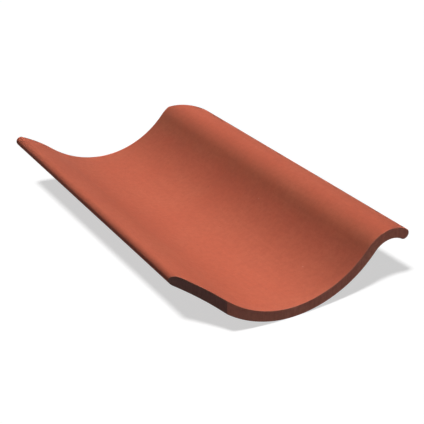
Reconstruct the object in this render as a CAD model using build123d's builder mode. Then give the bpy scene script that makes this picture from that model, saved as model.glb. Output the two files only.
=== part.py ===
from build123d import *
from math import atan2, cos, degrees, radians, sin, sqrt
import os

os.makedirs("parts", exist_ok=True)

# Overall sizes of the tile, in millimetres
length = 410.0  # from the tail, the lower end on a roof, to the head
width = 235.0  # across the tile, over both rounded long edges
wall = 10.5  # thickness of the clay, the same everywhere

# Shape of the S section: radii of its centre line, and slopes in degrees
wing_radius = 155.0  # the wing arches gently over to its edge
wing_sweep = 14.6  # angle that the wing's arc turns through
wing_slope = 39.0  # slope where the wing runs into the pan
roll_slope = 50.5  # slope where the pan runs up into the roll
roll_radius = 29.0  # the roll is much tighter than the wing and the pan
lip_slope = 31.0  # slope at the roll's edge, which turns down

# Mitred corners, the tail's at the wing and the head's at the roll
corner_cut = 37.0  # taken off the end and off the long edge

# Rounding of the arrises around the ends and the mitres
arris = 0.4

# Hanging nib under the head, in the middle of the pan
nib_drop = 12.0  # how far it stands below the pan
nib_setback = 14.0  # from the head to the back of its root
nib_root = 22.0  # along the tile, where it springs from the wall
nib_toe = 14.0  # along the tile, at its underside
nib_width = 64.0  # across the tile
nib_edge = 2.0  # rounding of its free edges
nib_fillet = 3.0  # fillet between it and the pan

# Runs and rises of the wing and the roll, from their slopes
tip_slope = wing_slope - wing_sweep
wing_run = wing_radius * (sin(radians(wing_slope)) - sin(radians(tip_slope)))
wing_rise = wing_radius * (cos(radians(tip_slope)) - cos(radians(wing_slope)))
roll_run = roll_radius * (sin(radians(roll_slope)) + sin(radians(lip_slope)))
roll_rise = roll_radius * (1 - cos(radians(roll_slope)))

# The pan spans what the wing and the roll leave of the width
pan_run = width - wall - wing_run - roll_run
pan_radius = pan_run / (sin(radians(wing_slope)) + sin(radians(roll_slope)))
pan_line = wall / 2 - width / 2 + wing_run + pan_radius * sin(radians(wing_slope))

# Heights above the pan's underside
tip_height = wall / 2 + pan_radius * (1 - cos(radians(wing_slope))) + wing_rise
crest_height = wall + pan_radius * (1 - cos(radians(roll_slope))) + roll_rise

# The nib springs from inside the wall, above the pan's underside at the nib's ends
pan_outer = pan_radius + wall / 2
nib_rise = pan_outer - sqrt(pan_outer**2 - (nib_width / 2) ** 2)
nib_spring = (nib_rise + wall) / 2

# Laid on a floor, the tile rests on its tail and on the nib, so it leans
nib_face = length - nib_setback - nib_root
lean = degrees(atan2(nib_drop, nib_face))
tail_y = (crest_height * sin(radians(lean)) - length * cos(radians(lean))) / 2

# Planes of the leaning tile: along the pan's underside, across the tail, and along the nib
bed_plane = Plane(Location((0, tail_y, 0), (lean, 0, 0)))
tail_plane = bed_plane.rotated((90, 0, 0))
nib_plane = Plane((pan_line, tail_y, 0), x_dir=bed_plane.y_dir, z_dir=bed_plane.x_dir)

with BuildPart() as pantile:
    # Three tangent arcs from the wing's tip through the pan to the lip, thickened evenly
    with BuildSketch(tail_plane):
        with BuildLine():
            wing = JernArc(
                start=(wall / 2 - width / 2, tip_height),
                tangent=(cos(radians(tip_slope)), -sin(radians(tip_slope))),
                radius=wing_radius,
                arc_size=-wing_sweep,
            )
            pan = JernArc(wing @ 1, wing % 1, pan_radius, wing_slope + roll_slope)
            JernArc(pan @ 1, pan % 1, roll_radius, -roll_slope - lip_slope)
            offset(amount=wall / 2)
        make_face()
    extrude(amount=-length)

    # A square set on its point takes off each mitred corner
    with BuildSketch(bed_plane):
        with Locations((-width / 2, 0), (width / 2, length)):
            Rectangle(corner_cut * sqrt(2), corner_cut * sqrt(2), rotation=45)
    extrude(amount=crest_height, mode=Mode.SUBTRACT)

    # The only flat faces so far are the two ends and the two mitres
    fillet(pantile.faces().filter_by(GeomType.PLANE).edges(), arris)

    # The nib's side view, with the face towards the tail square to the pan
    with BuildSketch(nib_plane):
        Polygon(
            (nib_face, nib_spring),
            (nib_face, -nib_drop),
            (nib_face + nib_toe, -nib_drop),
            (nib_face + nib_root, nib_spring),
            align=None,
        )
    extrude(amount=nib_width / 2, both=True)

    # The nib's free edges are all but the top four, which lie on the pan
    nib_edges = pantile.edges(Select.LAST).sort_by(Axis(bed_plane.origin, bed_plane.z_dir))
    fillet(nib_edges[:-4], nib_edge)

    # The pan's underside is the largest face, and the nib's root is the one opening in it
    pan_underside = pantile.faces().sort_by(SortBy.AREA)[-1]
    fillet(pan_underside.inner_wires()[0].edges(), nib_fillet)

pantile.part.label = "pantile"
export_step(pantile.part, "parts/pantile.step")
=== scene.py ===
"""An S-shaped clay pantile in its fired-clay finishes, with a plain studio and the camera."""

import logging
from dataclasses import dataclass, field
from enum import Enum
from math import atan2, ceil, cos, pi, radians, sin, sqrt
from typing import Any, Iterable, NamedTuple

import bmesh
import bpy
from mathutils import Matrix, Vector, noise


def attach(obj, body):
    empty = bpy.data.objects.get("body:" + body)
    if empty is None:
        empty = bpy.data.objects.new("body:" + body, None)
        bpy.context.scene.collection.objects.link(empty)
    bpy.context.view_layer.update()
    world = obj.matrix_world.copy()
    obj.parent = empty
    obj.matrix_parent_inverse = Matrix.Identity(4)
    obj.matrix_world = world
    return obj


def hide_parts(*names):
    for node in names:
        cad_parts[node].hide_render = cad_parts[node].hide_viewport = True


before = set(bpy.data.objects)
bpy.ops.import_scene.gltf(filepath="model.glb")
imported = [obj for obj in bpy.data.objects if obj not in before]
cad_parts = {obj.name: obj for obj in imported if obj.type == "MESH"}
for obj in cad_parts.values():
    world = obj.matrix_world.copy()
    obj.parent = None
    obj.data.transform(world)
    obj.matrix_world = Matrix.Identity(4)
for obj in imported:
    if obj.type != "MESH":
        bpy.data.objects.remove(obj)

LOG = logging.getLogger("pantile")

MM = 0.001  # the scene is in metres, and sizes are written in millimetres
MICRON = 0.001 * MM  # points that are nearer than this are one point
FAR = 1000.0 * MM  # no point of the tile is this far from a cut
BODY = "root"
NODE = "pantile"

# Most of a noise lies in this range, which is stretched onto the range that a pattern needs
NOISE_RANGE = {"From Min": 0.4, "From Max": 0.7}

# Colour sockets of the mix node, by number, because the node has several of each name
MIX_BELOW = 6
MIX_ABOVE = 7
MIX_RESULT = 2

Colour = tuple[float, float, float, float]
Inputs = dict[str | int, Any]
Socket = bpy.types.NodeSocket
Tree = bpy.types.NodeTree
Triple = tuple[float, float, float]


class ClayFace(Enum):
    """The kinds of surface on the tile, each with the number of its material slot."""

    SKIN = 0
    CUT = 1


class Speck(Enum):
    """The specks in the clay, each with the middle of the random numbers whose cells hold one."""

    SAND = 0.1
    IRON = 0.9


class Lights(Enum):
    """What a lamp lights."""

    TILE = "tile"
    FLOOR = "floor"


class Turn(NamedTuple):
    """One arc of the walk around the section: its centre, its angle about +Y and its number of facets."""

    centre: Vector
    angle: float
    steps: int


class CutPlane(NamedTuple):
    """A plane that cuts the clay: a point on it and its normal, which points out of the tile."""

    point: Vector
    normal: Vector


def linear(code: str) -> Colour:
    """Turn an sRGB colour into linear light, by the standard curve.

    Args:
        code: Six hex digits, red first.

    Returns:
        Red, green, blue and a full alpha.
    """
    channels = [int(code[start:start + 2], 16) / 255 for start in (0, 2, 4)]
    red, green, blue = (c / 12.92 if c <= 0.04045 else ((c + 0.055) / 1.055) ** 2.4 for c in channels)
    return red, green, blue, 1.0


def add_node(tree: Tree, kind: str, settings: dict[str, Any], inputs: Inputs) -> bpy.types.Node:
    """Add a node with its settings, its constants and its links.

    Args:
        tree: The node tree that takes the node.
        kind: The node's type name.
        settings: Properties of the node, by name.
        inputs: What goes into its sockets, by name or number: a socket is linked, and the rest is set.

    Returns:
        The new node.
    """
    node = tree.nodes.new(kind)
    for name, value in settings.items():
        setattr(node, name, value)
    for name, value in inputs.items():
        if isinstance(value, Socket):
            tree.links.new(value, node.inputs[name])
        else:
            node.inputs[name].default_value = value
    return node


def new_material(name: str) -> bpy.types.Material:
    """Return a material of that name whose node tree is still empty."""
    material = bpy.data.materials.new(name)
    material.use_nodes = True
    material.node_tree.nodes.clear()
    return material


def only_verts(items: Iterable[Any]) -> list[bmesh.types.BMVert]:
    """Return the vertices among what an operator gives back."""
    return [item for item in items if isinstance(item, bmesh.types.BMVert)]


def slice_mesh(bm: bmesh.types.BMesh, plane: CutPlane, clear_outer: bool = False) -> list[Any]:
    """Cut a mesh along a plane.

    Args:
        bm: The mesh.
        plane: The plane.
        clear_outer: Whether the side that the normal points to is taken off.

    Returns:
        The vertices and edges on the cut.
    """
    everything = bm.verts[:] + bm.edges[:] + bm.faces[:]
    cut = {"plane_co": plane.point, "plane_no": plane.normal, "clear_outer": clear_outer}
    return bmesh.ops.bisect_plane(bm, geom=everything, dist=MICRON, **cut)["geom_cut"]


def round_edges(bm: bmesh.types.BMesh, edges: list[Any], radius: float, segments: int) -> None:
    """Round edges of a mesh and give the roundings the material of the faces beside them.

    Args:
        bm: The mesh.
        edges: The edges.
        radius: How far the rounding reaches from each edge.
        segments: How many faces it has from side to side.
    """
    bmesh.ops.bevel(
        bm,
        geom=edges,
        offset=radius,
        offset_type="OFFSET",
        affect="EDGES",
        segments=segments,
        profile=0.5,
        material=-1,
    )


def add_object(bm: bmesh.types.BMesh, name: str) -> bpy.types.Object:
    """Turn a mesh into an object of the scene, at the origin.

    Args:
        bm: The mesh, which is used up.
        name: The object's name.

    Returns:
        The object.
    """
    mesh = bpy.data.meshes.new(name)
    bm.to_mesh(mesh)
    bm.free()
    made = bpy.data.objects.new(name, mesh)
    bpy.context.scene.collection.objects.link(made)
    return made


@dataclass(frozen=True)
class FiredClay:
    """Unglazed red clay, fired dry and matte, with a little sand and iron in it.

    Sizes are in millimetres. A share is how much of its colour the strongest patch of a pattern shows.
    Grain and specks are finer than a pixel of the picture, so they are drawn coarser, to show at all.
    """

    name: str
    base: str
    pale: str
    deep: str
    drag_size: Triple
    drag_share: float
    drag_depth: float
    grain_size: float
    grain_share: float
    grain_depth: float
    smoothest: float
    roughest: float
    sand: str = "DFA089"
    iron: str = "7D4033"
    rubbed: str = "D38B70"
    cloud_size: float = 60.0
    cloud_share: float = 0.9
    mottle_size: float = 5.0
    mottle_share: float = 0.6
    speck_spacing: float = 14.0
    speck_size: float = 0.4
    speck_share: float = 0.45
    speck_reach: float = 0.1
    rubbed_width: float = 2.0
    rubbed_share: float = 0.3
    patch_detail: float = 3.0
    patch_roughness: float = 0.55
    ior: float = 1.5
    specular: float = 0.25

    def material(self, cuts: list[CutPlane]) -> bpy.types.Material:
        """Build the clay's material.

        Args:
            cuts: The planes whose arrises are rubbed pale, as the tile lies.

        Returns:
            The material, which reads Object coordinates.
        """
        material = new_material(self.name)
        tree = material.node_tree
        place = add_node(tree, "ShaderNodeTexCoord", {}, {}).outputs["Object"]
        drags = self.patches(tree, place, self.drag_size)
        grain = self.patches(tree, place, (self.grain_size,) * 3)
        rough = {"Value": grain, "To Min": self.smoothest, "To Max": self.roughest, **NOISE_RANGE}
        clay = {
            "Base Color": self.tone(tree, place, drags, grain, cuts),
            "Roughness": add_node(tree, "ShaderNodeMapRange", {}, rough).outputs["Result"],
            "Normal": self.relief(tree, drags, grain),
            "IOR": self.ior,
            "Specular IOR Level": self.specular,
        }
        shader = add_node(tree, "ShaderNodeBsdfPrincipled", {}, clay)
        add_node(tree, "ShaderNodeOutputMaterial", {}, {"Surface": shader.outputs["BSDF"]})
        return material

    def patches(self, tree: Tree, place: Socket, size: Triple) -> Socket:
        """Fill the clay with soft patches.

        Args:
            tree: The node tree.
            place: The coordinates.
            size: A patch's size across, along and up the tile.

        Returns:
            The patches' strength.
        """
        scaled = {"Vector": place, "Scale": [1 / (side * MM) for side in size]}
        stretched = add_node(tree, "ShaderNodeMapping", {}, scaled).outputs["Vector"]
        detail = {"Scale": 1.0, "Detail": self.patch_detail, "Roughness": self.patch_roughness}
        return add_node(tree, "ShaderNodeTexNoise", {}, {"Vector": stretched, **detail}).outputs["Fac"]

    def tone(
        self, tree: Tree, place: Socket, drags: Socket, grain: Socket, cuts: list[CutPlane]
    ) -> Socket:
        """Lay the patterns over the clay's base colour, one after the other.

        Args:
            tree: The node tree.
            place: The coordinates.
            drags: The drags' strength.
            grain: The grain's strength.
            cuts: The planes of the cuts.

        Returns:
            The clay's colour.
        """
        clouds = self.patches(tree, place, (self.cloud_size,) * 3)
        mottles = self.patches(tree, place, (self.mottle_size,) * 3)
        patterns = (
            (clouds, self.cloud_share, self.pale),
            (mottles, self.mottle_share, self.deep),
            (drags, self.drag_share, self.deep),
            (grain, self.grain_share, self.deep),
        )
        layers = []
        for strength, share, colour in patterns:
            spread = {"Value": strength, "To Max": share, **NOISE_RANGE}
            layers.append((add_node(tree, "ShaderNodeMapRange", {}, spread).outputs["Result"], colour))
        layers.append((self.specks(tree, place, Speck.IRON), self.iron))
        layers.append((self.specks(tree, place, Speck.SAND), self.sand))
        layers.append((self.rubbing(tree, place, grain, cuts), self.rubbed))
        tone: Socket | Colour = linear(self.base)
        for share, colour in layers:
            over = {"Factor": share, MIX_BELOW: tone, MIX_ABOVE: linear(colour)}
            tone = add_node(tree, "ShaderNodeMix", {"data_type": "RGBA"}, over).outputs[MIX_RESULT]
        return tone

    def specks(self, tree: Tree, place: Socket, kind: Speck) -> Socket:
        """Scatter one kind of speck through the clay, one to every fifth cell of a loose grid.

        Args:
            tree: The node tree.
            place: The coordinates.
            kind: The kind of speck.

        Returns:
            The share of the speck's colour.
        """
        grid = {"Vector": place, "Scale": 1 / (self.speck_spacing * MM)}
        cells = add_node(tree, "ShaderNodeTexVoronoi", {}, grid).outputs
        rim = self.speck_size / self.speck_spacing
        fade = {
            "Value": cells["Distance"],
            "From Min": rim,
            "From Max": 2 * rim,
            "To Min": self.speck_share,
            "To Max": 0.0,
        }
        dot = add_node(tree, "ShaderNodeMapRange", {}, fade).outputs["Result"]
        draw = add_node(tree, "ShaderNodeSeparateColor", {}, {"Color": cells["Color"]}).outputs["Red"]
        chosen = {0: draw, 1: kind.value, 2: self.speck_reach}
        holds = add_node(tree, "ShaderNodeMath", {"operation": "COMPARE"}, chosen).outputs[0]
        return add_node(tree, "ShaderNodeMath", {"operation": "MULTIPLY"}, {0: dot, 1: holds}).outputs[0]

    def rubbing(self, tree: Tree, place: Socket, grain: Socket, cuts: list[CutPlane]) -> Socket:
        """Find the arrises beside the cuts, where handling rubs the clay pale.

        Args:
            tree: The node tree.
            place: The coordinates.
            grain: The grain's strength, which breaks the rubbing up.
            cuts: The planes of the cuts.

        Returns:
            The share of the rubbed clay's colour.
        """
        nearest: Socket | float = FAR
        for cut in cuts:
            inwards = {0: place, 1: -cut.normal}
            reach = add_node(tree, "ShaderNodeVectorMath", {"operation": "DOT_PRODUCT"}, inwards)
            depth = {0: reach.outputs["Value"], 1: -cut.normal.dot(cut.point)}
            away = add_node(tree, "ShaderNodeMath", {"operation": "SUBTRACT"}, depth).outputs[0]
            both = {0: away, 1: nearest}
            nearest = add_node(tree, "ShaderNodeMath", {"operation": "MINIMUM"}, both).outputs[0]
        fade = {
            "Value": nearest,
            "From Max": self.rubbed_width * MM,
            "To Min": self.rubbed_share,
            "To Max": 0.0,
        }
        near = add_node(tree, "ShaderNodeMapRange", {}, fade).outputs["Result"]
        worn = add_node(tree, "ShaderNodeMapRange", {}, {"Value": grain, **NOISE_RANGE}).outputs["Result"]
        return add_node(tree, "ShaderNodeMath", {"operation": "MULTIPLY"}, {0: near, 1: worn}).outputs[0]

    def relief(self, tree: Tree, drags: Socket, grain: Socket) -> Socket:
        """Raise the drags and then the grain from the surface.

        Args:
            tree: The node tree.
            drags: The drags' strength.
            grain: The grain's strength.

        Returns:
            The surface's normal.
        """
        dragged = {"Height": drags, "Strength": 1.0, "Distance": self.drag_depth * MM}
        normal = add_node(tree, "ShaderNodeBump", {}, dragged).outputs["Normal"]
        grained = {"Height": grain, "Strength": 1.0, "Distance": self.grain_depth * MM, "Normal": normal}
        return add_node(tree, "ShaderNodeBump", {}, grained).outputs["Normal"]


# The die smooths the clay's skin and draws it out, so it looks even, dry and faintly streaked lengthwise
SKIN = FiredClay(
    name="fired_red_clay_die_skin",
    base="C56348",
    pale="C8694D",
    deep="B95C44",
    drag_size=(2.4, 190.0, 2.4),
    drag_share=0.25,
    drag_depth=0.03,
    grain_size=1.5,
    grain_share=0.3,
    grain_depth=0.04,
    smoothest=0.8,
    roughest=0.95,
)

# The wire tears the ends and the mitres open, so they are duller and rougher than the skin; their greyer,
# paler colour is partly painted shade, the grey hue that these faces take in shade
WIRE_CUT_AND_SHADE = FiredClay(
    name="fired_red_clay_wire_cut_shade_greyed",
    # greyer than the skin's base, partly as painted shade on the ends and mitres
    base="C4735F",
    pale="CC836E",
    deep="AA6250",
    drag_size=(1.6, 1.6, 26.0),
    drag_share=0.5,
    drag_depth=0.2,
    grain_size=2.2,
    grain_share=0.45,
    grain_depth=0.18,
    smoothest=0.88,
    roughest=1.0,
)


@dataclass
class TileSection:
    """The S section, in the tile's own XZ plane: three tangent arcs, evenly thick, with rounded edges.

    Z is measured from the pan's underside, and X from the middle of the width.
    """

    width: float = 235.0 * MM
    wall: float = 10.5 * MM
    wing_radius: float = 155.0 * MM
    wing_sweep: float = radians(14.6)
    wing_slope: float = radians(39.0)
    roll_slope: float = radians(50.5)
    roll_radius: float = 29.0 * MM
    lip_slope: float = radians(31.0)
    facet: float = 2.6 * MM
    edge_steps: int = 14

    def __post_init__(self) -> None:
        """Work out the pan's radius and the centres of the arcs."""
        self.tip_slope = self.wing_slope - self.wing_sweep
        wing_run = self.wing_radius * (sin(self.wing_slope) - sin(self.tip_slope))
        roll_run = self.roll_radius * (sin(self.roll_slope) + sin(self.lip_slope))
        pan_run = self.width - self.wall - wing_run - roll_run
        self.pan_radius = pan_run / (sin(self.wing_slope) + sin(self.roll_slope))
        pan_left = self.wall / 2 - self.width / 2 + wing_run
        self.pan_line = pan_left + self.pan_radius * sin(self.wing_slope)
        self.pan_centre = Vector((self.pan_line, 0, self.wall / 2 + self.pan_radius))
        to_wing = self.lean(self.wing_slope) * (self.pan_radius + self.wing_radius)
        to_roll = self.lean(-self.roll_slope) * (self.pan_radius + self.roll_radius)
        self.wing_centre = self.pan_centre - to_wing
        self.roll_centre = self.pan_centre - to_roll
        self.tip = self.wing_centre + self.lean(self.tip_slope) * self.wing_radius
        self.lip = self.roll_centre + self.lean(self.lip_slope) * self.roll_radius
        self.crest = self.roll_centre.z + self.roll_radius + self.wall / 2

    @staticmethod
    def lean(slope: float) -> Vector:
        """Return the upward normal of a surface that falls to the right at a slope."""
        return Vector((sin(slope), 0, cos(slope)))

    def start(self) -> Vector:
        """Return where the walk around the section starts, on top of the wing's tip."""
        return self.tip + self.lean(self.tip_slope) * (self.wall / 2)

    def turns(self) -> list[Turn]:
        """Walk once around the section, over the top to the lip and back along the underside.

        Returns:
            The arcs in order, the last of which ends at the start.
        """
        arcs = (
            (self.wing_centre, self.wing_sweep, self.wing_radius),
            (self.pan_centre, -self.wing_slope - self.roll_slope, self.pan_radius),
            (self.roll_centre, self.roll_slope + self.lip_slope, self.roll_radius),
        )
        over = [
            Turn(centre, angle, ceil(abs(angle) * radius / self.facet)) for centre, angle, radius in arcs
        ]
        under = [Turn(turn.centre, -turn.angle, turn.steps) for turn in reversed(over)]
        return [*over, Turn(self.lip, pi, self.edge_steps), *under, Turn(self.tip, pi, self.edge_steps)]

    def rise(self, across: float) -> float:
        """Return how far the pan's underside has risen at a place across the tile."""
        outer = self.pan_radius + self.wall / 2
        return outer - sqrt(outer**2 - (across - self.pan_line) ** 2)


@dataclass
class HangingNib:
    """The nib under the head that hooks over a batten, in the tile's own frame."""

    drop: float = 12.0 * MM
    setback: float = 14.0 * MM
    root: float = 22.0 * MM
    toe: float = 14.0 * MM
    width: float = 64.0 * MM
    edge: float = 2.0 * MM
    edge_segments: int = 4
    fillet: float = 3.0 * MM
    fillet_steps: int = 5
    columns: int = 16
    skirt: float = 1.5 * MM
    skirt_rise: float = 0.2 * MM

    def face(self, length: float) -> float:
        """Return how far the bearing face is from the tail."""
        return length - self.setback - self.root

    def build(self, section: TileSection, length: float) -> bmesh.types.BMesh:
        """Model the nib with a rounded toe and a fillet that runs out on the pan's underside.

        Args:
            section: The tile's section.
            length: The tile's length.

        Returns:
            A closed mesh, whose top is buried in the wall.
        """
        spring = (section.rise(section.pan_line + self.width / 2) + section.wall) / 2
        neck = self.toe + (self.root - self.toe) * (self.drop - self.fillet) / (self.drop + spring)
        face = self.face(length)
        bm = bmesh.new()
        bmesh.ops.create_cube(bm, size=1.0)
        for vert in bm.verts:
            upper = vert.co.z > 0
            depth = neck if upper else self.toe
            vert.co.x = section.pan_line + vert.co.x * self.width
            vert.co.y = face + depth / 2 + vert.co.y * depth
            vert.co.z = -self.fillet if upper else -self.drop
        top = max(bm.faces, key=lambda item: item.calc_center_median().z)
        free = [edge for edge in bm.edges if edge not in top.edges[:]]
        round_edges(bm, free, self.edge, self.edge_segments)
        left = section.pan_line - self.width / 2
        for step in range(1, self.columns):
            across = Vector((left + self.width * step / self.columns, 0, 0))
            slice_mesh(bm, CutPlane(across, Vector((1, 0, 0))))
        middle = Vector((section.pan_line, face + neck / 2, 0))
        self.flare(bm, middle, Vector((self.width, neck, 0)) / 2)
        for vert in bm.verts:
            if vert.co.z > -self.fillet - MICRON:
                vert.co.z += section.rise(vert.co.x)
        return bm

    def flare(self, bm: bmesh.types.BMesh, middle: Vector, half: Vector) -> None:
        """Draw the nib's top outwards step by step, in a fillet that ends just inside the wall.

        Args:
            bm: The nib's mesh.
            middle: The middle of the nib's top.
            half: Half the top's size.
        """
        quarter = [pi / 2 * step / self.fillet_steps for step in range(1, self.fillet_steps + 1)]
        rings = [(self.fillet * (1 - cos(turn)), self.fillet * (sin(turn) - 1)) for turn in quarter]
        rings.append((self.fillet + self.skirt, self.skirt_rise))
        out, height = 0.0, -self.fillet
        for next_out, next_height in rings:
            top = [item for item in bm.faces if item.calc_center_median().z > height - MICRON]
            drawn = bmesh.ops.extrude_face_region(bm, geom=top)["geom"]
            bmesh.ops.delete(bm, geom=top, context="FACES")
            verts = only_verts(drawn)
            growth = ((half.x + next_out) / (half.x + out), (half.y + next_out) / (half.y + out), 1.0)
            bmesh.ops.scale(bm, vec=growth, space=Matrix.Translation(-middle), verts=verts)
            bmesh.ops.translate(bm, vec=(0, 0, next_height - height), verts=verts)
            out, height = next_out, next_height


@dataclass
class Pantile:
    """The whole tile: section, mitred corners, softened arrises and nib, laid as it rests on a floor."""

    section: TileSection = field(default_factory=TileSection)
    nib: HangingNib = field(default_factory=HangingNib)
    length: float = 410.0 * MM
    corner_cut: float = 37.0 * MM
    arris: float = 0.4 * MM
    arris_segments: int = 3
    sharp: float = radians(30.0)
    row: float = 4.0 * MM
    warp: float = 0.15 * MM
    warp_across: float = 42.0 * MM
    warp_along: float = 120.0 * MM
    large_face_weight: int = 100  # the large faces lead the shading across the roundings beside them

    def __post_init__(self) -> None:
        """Work out how the tile lies, on its tail and on the nib's near edge, and where it was cut."""
        lean = atan2(self.nib.drop, self.nib.face(self.length))
        tail = (self.section.crest * sin(lean) - self.length * cos(lean)) / 2
        self.place = Matrix.Translation((0, tail, 0)) @ Matrix.Rotation(lean, 4, "X")
        inner = self.section.width / 2 - self.corner_cut
        self.ends = [
            CutPlane(Vector((0, 0, 0)), Vector((0, -1, 0))),
            CutPlane(Vector((0, self.length, 0)), Vector((0, 1, 0))),
        ]
        self.mitres = [
            CutPlane(Vector((-inner, 0, 0)), Vector((-1, -1, 0)).normalized()),
            CutPlane(Vector((inner, self.length, 0)), Vector((1, 1, 0)).normalized()),
        ]

    def cuts(self) -> list[CutPlane]:
        """Return the planes of the ends and the mitres, as the tile lies."""
        turn = self.place.to_3x3()
        return [CutPlane(self.place @ cut.point, turn @ cut.normal) for cut in self.ends + self.mitres]

    def blank(self) -> bmesh.types.BMesh:
        """Draw the section out to the tile's length, with both ends square.

        Returns:
            A closed mesh in the tile's own frame.
        """
        bm = bmesh.new()
        walker = bmesh.ops.create_vert(bm, co=self.section.start())["vert"]
        for turn in self.section.turns():
            spun = {"cent": turn.centre, "axis": (0, 1, 0), "angle": turn.angle, "steps": turn.steps}
            walker = only_verts(bmesh.ops.spin(bm, geom=walker, **spun)["geom_last"])
        bmesh.ops.remove_doubles(bm, verts=bm.verts[:], dist=MICRON)
        tail = bmesh.ops.contextual_create(bm, geom=bm.edges[:])["faces"]
        head = only_verts(bmesh.ops.extrude_face_region(bm, geom=tail)["geom"])
        bmesh.ops.translate(bm, vec=(0, self.length, 0), verts=head)
        return bm

    def cut_corners(self, bm: bmesh.types.BMesh) -> None:
        """Take off the two mitred corners, close the cuts and tell the cut faces from the skin.

        Args:
            bm: The blank.
        """
        for mitre in self.mitres:
            cut = slice_mesh(bm, mitre, clear_outer=True)
            rim = [item for item in cut if isinstance(item, bmesh.types.BMEdge)]
            bmesh.ops.contextual_create(bm, geom=rim)
        bmesh.ops.recalc_face_normals(bm, faces=bm.faces[:])
        for item in bm.faces:
            if any(item.normal.angle(cut.normal) < self.sharp for cut in self.ends + self.mitres):
                item.material_index = ClayFace.CUT.value

    def soften(self, bm: bmesh.types.BMesh) -> None:
        """Round the arrises around the ends and the mitres.

        Args:
            bm: The cut tile.
        """
        arrises = [edge for edge in bm.edges if edge.calc_face_angle() > self.sharp]
        round_edges(bm, arrises, self.arris, self.arris_segments)

    def settle(self, bm: bmesh.types.BMesh) -> None:
        """Divide the tile into rows and warp it slightly, as clay does when it dries.

        Args:
            bm: The tile with its arrises softened.
        """
        rows = ceil(self.length / self.row)
        for step in range(1, rows):
            along = Vector((0, self.length * step / rows, 0))
            slice_mesh(bm, CutPlane(along, Vector((0, 1, 0))))
        for vert in bm.verts:
            spot = Vector((vert.co.x / self.warp_across, vert.co.y / self.warp_along, 0))
            vert.co.z += self.warp * noise.noise(spot)

    def lay_down(self, bm: bmesh.types.BMesh, name: str) -> bpy.types.Object:
        """Turn a mesh in the tile's own frame into an object that lies as the tile does.

        Args:
            bm: The mesh, which is used up.
            name: The object's name.

        Returns:
            The object, at the origin, with its place in its mesh.
        """
        for item in bm.faces:
            item.smooth = True
        bmesh.ops.transform(bm, matrix=self.place, verts=bm.verts[:])
        return add_object(bm, name)

    def build(self) -> bpy.types.Object:
        """Model the tile where it lies, with its nib joined into one closed mesh.

        Returns:
            The tile's object, at the origin, with its place in its mesh.
        """
        bm = self.blank()
        self.cut_corners(bm)
        self.soften(bm)
        self.settle(bm)
        tile = self.lay_down(bm, "clay_tile")
        nib = self.lay_down(self.nib.build(self.section, self.length), "hanging_nib")
        union = tile.modifiers.new("one_clay", "BOOLEAN")
        union.operation = "UNION"
        union.object = nib
        graph = bpy.context.evaluated_depsgraph_get()
        joined = bpy.data.meshes.new_from_object(tile.evaluated_get(graph))
        tile.modifiers.clear()
        tile.data = joined
        bpy.data.objects.remove(nib)
        tile.modifiers.new("even_shading", "WEIGHTED_NORMAL").weight = self.large_face_weight
        return tile

    def dress(self, tile: bpy.types.Object) -> None:
        """Give the tile its clay and tie it to the frame.

        Args:
            tile: The tile's object.
        """
        # the cut faces take the clay whose grey colour is partly painted shade
        finishes = {ClayFace.SKIN: SKIN, ClayFace.CUT: WIRE_CUT_AND_SHADE}
        for face in ClayFace:
            tile.data.materials.append(finishes[face].material(self.cuts()))
        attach(tile, BODY)
        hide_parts(NODE)
        LOG.info("%s: %d faces, replaces %s", tile.name, len(tile.data.polygons), NODE)


@dataclass(frozen=True)
class Lamp:
    """A far lamp, whose light comes evenly from one direction, softened by its spread.

    Its strength is in watts per square metre.
    """

    name: str
    lights: Lights
    strength: float
    spread: float
    lean_right: float
    lean_front: float
    colour: str = "FFFFFF"

    def data(self) -> bpy.types.Light:
        """Return the lamp's own light."""
        light = bpy.data.lights.new(self.name, "SUN")
        light.angle = self.spread
        return light

    def place(self) -> Matrix:
        """Return how the lamp hangs: overhead, and then leant to the front and to the right."""
        return Matrix.Rotation(self.lean_right, 4, "Y") @ Matrix.Rotation(self.lean_front, 4, "X")

    def build(self, receivers: bpy.types.Collection) -> None:
        """Hang the lamp and keep its light to what it is meant for.

        Args:
            receivers: The objects that it lights.
        """
        light = self.data()
        light.energy = self.strength
        light.color = linear(self.colour)[:3]
        lamp = bpy.data.objects.new(self.name, light)
        lamp.matrix_world = self.place()
        lamp.visible_camera = False
        lamp.light_linking.receiver_collection = receivers
        bpy.context.scene.collection.objects.link(lamp)


@dataclass(frozen=True)
class SoftBox(Lamp):
    """A soft box at a distance, with a grid that narrows its beam.

    The usual box is a long strip that hangs along the tile, and its beam may pass beside the middle.
    Its strength is in watts, and its sizes are in metres.
    """

    turn: float = 0.0
    aside: float = 0.0
    distance: float = 3.0
    width: float = 0.1
    length: float = 2.0

    def data(self) -> bpy.types.Light:
        """Return the lamp's own light."""
        light = bpy.data.lights.new(self.name, "AREA")
        light.shape = "RECTANGLE"
        light.size = self.width
        light.size_y = self.length
        light.spread = self.spread
        return light

    def place(self) -> Matrix:
        """Return where the box hangs: at its distance, moved aside and turned about its beam."""
        turn = Matrix.Rotation(self.turn, 4, "Z")
        return super().place() @ turn @ Matrix.Translation((self.aside, 0, self.distance))


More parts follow.
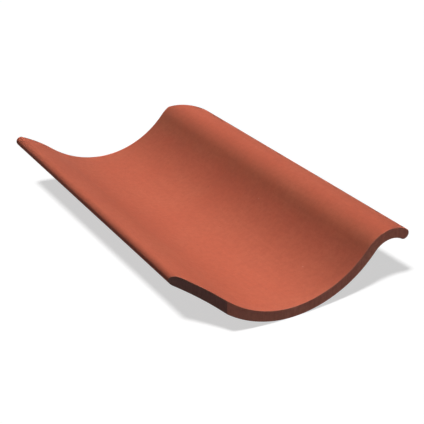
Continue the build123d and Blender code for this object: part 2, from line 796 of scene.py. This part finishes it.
# Narrow strips shape the light across the tile, weak fills open the sides that they miss, and one lamp
# gives the shadow on the floor
LAMPS = (
    SoftBox(
        name="wing_strip",
        lights=Lights.TILE,
        strength=2.48,
        spread=radians(9.6),
        lean_right=radians(15.2),
        lean_front=radians(4.0),
        turn=radians(1.5),
        aside=-250.0 * MM,
    ),
    SoftBox(
        name="pan_strip",
        lights=Lights.TILE,
        strength=0.904,
        spread=radians(4.3),
        lean_right=radians(27.0),
        lean_front=radians(4.0),
        turn=radians(-0.5),
        aside=13.0 * MM,
    ),
    SoftBox(
        name="crest_strip",
        lights=Lights.TILE,
        strength=0.0273,
        spread=radians(1.0),
        lean_right=radians(20.0),
        lean_front=radians(4.0),
        colour="FFCDC7",
        aside=62.0 * MM,
        distance=2.0,
        width=0.02,
    ),
    SoftBox(
        name="flank_strip",
        lights=Lights.TILE,
        strength=0.0156,
        spread=radians(1.0),
        lean_right=radians(-45.0),
        lean_front=radians(4.0),
        colour="A7FFE7",
        aside=90.0 * MM,
        distance=2.0,
        width=0.02,
    ),
    SoftBox(
        name="front_fill",
        lights=Lights.TILE,
        strength=0.46,
        spread=pi,
        lean_right=radians(53.4),
        lean_front=radians(65.8),
        distance=0.75,
        width=0.2,
        length=0.2,
    ),
    Lamp(
        name="back_fill",
        lights=Lights.TILE,
        strength=0.15,
        spread=radians(50.0),
        lean_right=radians(40.0),
        lean_front=radians(-70.0),
    ),
    Lamp(
        name="cool_left_fill",
        lights=Lights.TILE,
        strength=0.48,
        spread=radians(60.0),
        lean_right=radians(-76.8),
        lean_front=radians(29.8),
        colour="8BD2FF",
    ),
    Lamp(
        name="shadow_lamp",
        lights=Lights.FLOOR,
        strength=3.2,
        spread=radians(8.0),
        lean_right=radians(-23.1),
        lean_front=radians(17.1),
    ),
)


def seen_by_camera(tree: Tree) -> Socket:
    """Tell what the camera sees, straight, mirrored or through glass, from what only gives light.

    Args:
        tree: The node tree.

    Returns:
        One for rays that the camera sees, and none for the rest.
    """
    path = add_node(tree, "ShaderNodeLightPath", {}, {}).outputs
    pair = {0: path["Is Camera Ray"], 1: path["Is Glossy Ray"]}
    either = add_node(tree, "ShaderNodeMath", {"operation": "MAXIMUM"}, pair).outputs[0]
    three = {0: either, 1: path["Is Transmission Ray"]}
    return add_node(tree, "ShaderNodeMath", {"operation": "MAXIMUM"}, three).outputs[0]


@dataclass(frozen=True)
class WhitePaper:
    """Matte white paper: a plain white ground with the tile's soft grey shadow.

    Its glow and what it catches of the lamp add up to white. It throws little light back on the tile.
    """

    name: str = "matte_white_paper"
    white: str = "FFFFFF"
    glow: float = 0.595
    catch: float = 0.46
    bounce: float = 0.03

    def material(self) -> bpy.types.Material:
        """Return the paper's material."""
        material = new_material(self.name)
        tree = material.node_tree
        white = linear(self.white)
        glow = add_node(tree, "ShaderNodeEmission", {}, {"Color": white, "Strength": self.glow})
        catch = add_node(tree, "ShaderNodeBsdfDiffuse", {}, {"Color": (self.catch,) * 3 + (1.0,)})
        bounce = add_node(tree, "ShaderNodeBsdfDiffuse", {}, {"Color": (self.bounce,) * 3 + (1.0,)})
        shown = add_node(tree, "ShaderNodeAddShader", {}, {0: catch.outputs[0], 1: glow.outputs[0]})
        either = {0: seen_by_camera(tree), 1: bounce.outputs[0], 2: shown.outputs[0]}
        mixed = add_node(tree, "ShaderNodeMixShader", {}, either)
        add_node(tree, "ShaderNodeOutputMaterial", {}, {"Surface": mixed.outputs[0]})
        return material


@dataclass
class Studio:
    """A white floor and backdrop under soft lamps, with a weak fill from all round.

    The lamps for the tile and for the floor are apart, so that the tile's shadow lies where it should
    while the light on the tile itself stays nearly overhead.
    """

    paper: WhitePaper = WhitePaper()
    floor_half: float = 4.0
    floor_drop: float = 0.02 * MM
    fill_strength: float = 0.02
    white_strength: float = 1.0

    def floor(self) -> bpy.types.Object:
        """Lay the floor and mark it as the stage.

        Returns:
            The floor's object.
        """
        bm = bmesh.new()
        bmesh.ops.create_grid(bm, x_segments=1, y_segments=1, size=self.floor_half)
        bmesh.ops.translate(bm, vec=(0, 0, -self.floor_drop), verts=bm.verts[:])
        floor = add_object(bm, "floor")
        floor.data.materials.append(self.paper.material())
        return floor

    def surround(self) -> None:
        """Light the scene weakly from all round, with white where the camera sees past the floor."""
        world = bpy.data.worlds.new("studio")
        world.use_nodes = True
        tree = world.node_tree
        tree.nodes.clear()
        white = linear(self.paper.white)
        fills = {"Color": white, "Strength": self.fill_strength}
        shows = {"Color": white, "Strength": self.white_strength}
        fill = add_node(tree, "ShaderNodeBackground", {}, fills)
        plain = add_node(tree, "ShaderNodeBackground", {}, shows)
        either = {0: seen_by_camera(tree), 1: fill.outputs[0], 2: plain.outputs[0]}
        mixed = add_node(tree, "ShaderNodeMixShader", {}, either)
        add_node(tree, "ShaderNodeOutputWorld", {}, {"Surface": mixed.outputs[0]})
        bpy.context.scene.world = world

    def build(self, tile: bpy.types.Object) -> None:
        """Set the whole studio up.

        Args:
            tile: The object that the studio is for.
        """
        lit = {Lights.TILE: tile, Lights.FLOOR: self.floor()}
        for lamp in LAMPS:
            receivers = bpy.data.collections.new(f"lit_by_{lamp.name}")
            receivers.objects.link(lit[lamp.lights])
            lamp.build(receivers)
        self.surround()
        bpy.context.scene.view_settings.view_transform = "Standard"
        LOG.info("studio: floor, %d lamps and surround", len(LAMPS))


@dataclass
class PhotoCamera:
    """The camera, as fitted to the photograph's outline of the tile."""

    azimuth: float = radians(-29.553)
    elevation: float = radians(24.214)
    roll: float = radians(-1.341)
    distance: float = 1049.9 * MM
    aim: Triple = (15.23 * MM, -13.76 * MM, 25.09 * MM)
    lens_mm: float = 84.73
    sensor_mm: float = 36.0

    def build(self) -> None:
        """Set the camera up and make it the scene's own."""
        data = bpy.data.cameras.new("photo_camera")
        data.sensor_width = self.sensor_mm
        data.lens = self.lens_mm
        camera = bpy.data.objects.new("photo_camera", data)
        turn = Matrix.Rotation(self.azimuth, 4, "Z") @ Matrix.Rotation(pi / 2 - self.elevation, 4, "X")
        turn = turn @ Matrix.Rotation(self.roll, 4, "Z")
        back = Matrix.Translation((0, 0, self.distance))
        camera.matrix_world = Matrix.Translation(self.aim) @ turn @ back
        bpy.context.scene.collection.objects.link(camera)
        bpy.context.scene.camera = camera
        LOG.info("camera: %.1f mm lens, %.3f m from its aim", self.lens_mm, self.distance)


def main() -> None:
    """Build the tile, the studio and the camera."""
    logging.basicConfig(level=logging.INFO, format="%(name)s: %(message)s")
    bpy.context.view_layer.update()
    pantile = Pantile()
    tile = pantile.build()
    pantile.dress(tile)
    Studio().build(tile)
    PhotoCamera().build()
    bpy.context.view_layer.update()


if __name__ == "__main__":
    main()
